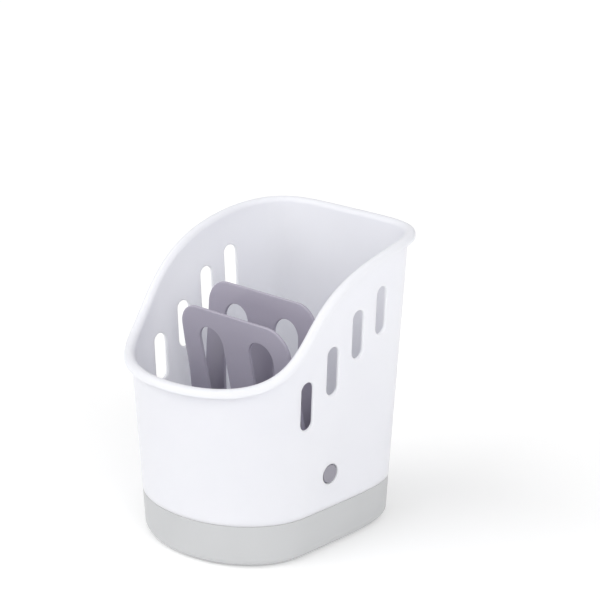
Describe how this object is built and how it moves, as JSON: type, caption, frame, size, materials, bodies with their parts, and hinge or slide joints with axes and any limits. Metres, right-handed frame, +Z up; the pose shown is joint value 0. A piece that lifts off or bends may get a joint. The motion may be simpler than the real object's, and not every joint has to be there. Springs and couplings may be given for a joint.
{
  "type": "cleaning caddy",
  "caption": "Tall plastic cleaning caddy with a swept rim, slotted sides, a lift-off drip tray and a swinging sponge holder on pivot pins.",
  "frame": {"origin": "on the floor, below the middle of the whole object's bounding box", "axes": "-Y is the low rounded front, +Y the tall flat back, +Z up, +X to the right of a viewer who faces the low front"},
  "size_m": [0.1444, 0.1676, 0.1852],
  "materials": {
    "white_plastic": "satin moulded polypropylene, white",
    "light_grey_plastic": "fine-textured moulded plastic, light grey",
    "grey_plastic": "fine-textured moulded plastic, mid grey with a faint violet cast",
    "foot_rubber": "soft non-slip rubber, grey"
  },
  "bodies": {
    "base": {"drip_tray": "light_grey_plastic", "foot_front_right": "foot_rubber", "foot_front_left": "foot_rubber", "foot_back_right": "foot_rubber", "foot_back_left": "foot_rubber"},
    "basket": {"basket_shell": "white_plastic"},
    "holder": {"sponge_holder": "grey_plastic", "pivot_pin_right": "grey_plastic", "pivot_pin_left": "grey_plastic"}
  },
  "joints": [
    {"name": "basket_lift", "type": "slide", "parent": "base", "child": "basket", "axis": [0, 0, 1], "range_m": [0, 0.05]},
    {"name": "holder_swing", "type": "hinge", "parent": "basket", "child": "holder", "pos_m": [0, -0.0041, 0.0495], "axis": [1, 0, 0], "range_deg": [-28, 24]}
  ]
}
